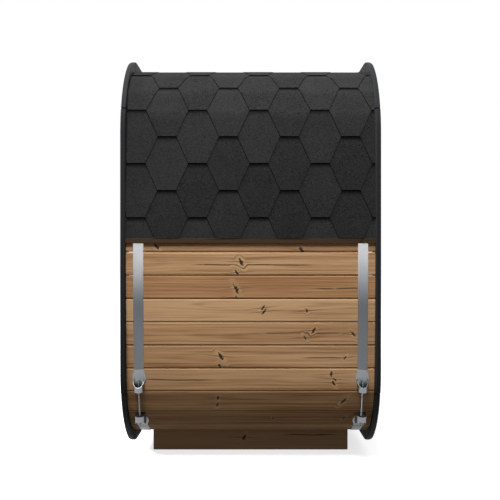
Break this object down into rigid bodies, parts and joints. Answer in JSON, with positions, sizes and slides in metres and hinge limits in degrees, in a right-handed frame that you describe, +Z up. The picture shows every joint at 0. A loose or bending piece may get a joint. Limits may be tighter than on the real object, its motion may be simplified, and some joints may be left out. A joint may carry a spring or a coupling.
{
  "type": "outdoor sauna cabin",
  "caption": "Stave-built outdoor sauna cabin with a rounded-square section, end rings, steel bands, hexagonal shingles over the upper half and a plank base.",
  "frame": {"origin": "centre of the footprint on the ground, under the base planks", "axes": "+X along the cabin to the end with the door, -Y the front, +Z up"},
  "size_m": [1.41, 2.1082, 2.3],
  "materials": {
    "thermowood": "planed heat-treated softwood, knots and streaks, satin",
    "dark_wood": "rough impregnated softwood, matt",
    "shingle": "bitumen shingle with fine slate grit",
    "painted_board": "dark grey paint, satin",
    "steel": "stainless strip, brushed"
  },
  "bodies": {
    "root": {"floor_staves": "thermowood", "front_lower_corner_staves": "thermowood", "back_lower_corner_staves": "thermowood", "front_side_staves": "thermowood", "back_side_staves": "thermowood", "front_upper_corner_staves": "thermowood", "back_upper_corner_staves": "thermowood", "roof_staves": "thermowood", "front_roof_deck": "dark_wood", "top_roof_deck": "dark_wood", "back_roof_deck": "dark_wood", "front_shingles": "shingle", "top_shingles": "shingle", "back_shingles": "shingle", "front_eave_batten": "dark_wood", "back_eave_batten": "dark_wood", "left_ring_sides": "painted_board", "left_ring_corners": "painted_board", "left_ring_caps": "painted_board", "right_ring_sides": "painted_board", "right_ring_corners": "painted_board", "right_ring_caps": "painted_board", "left_upper_band": "steel", "right_upper_band": "steel", "left_lower_band": "steel", "right_lower_band": "steel", "upper_tensioner_cups": "steel", "lower_tensioner_cups": "steel", "tensioner_rods": "steel", "tensioner_nuts": "steel", "base_skids": "dark_wood", "base_crossbeams": "dark_wood", "left_end_wall": "thermowood", "right_wall_front": "thermowood", "right_wall_back": "thermowood", "right_wall_over_door": "thermowood", "door_jambs": "thermowood", "door_head": "thermowood", "door_sill": "thermowood", "door_leaf": "thermowood", "door_hinges": "steel", "door_handle": "thermowood"}
  },
  "joints": []
}
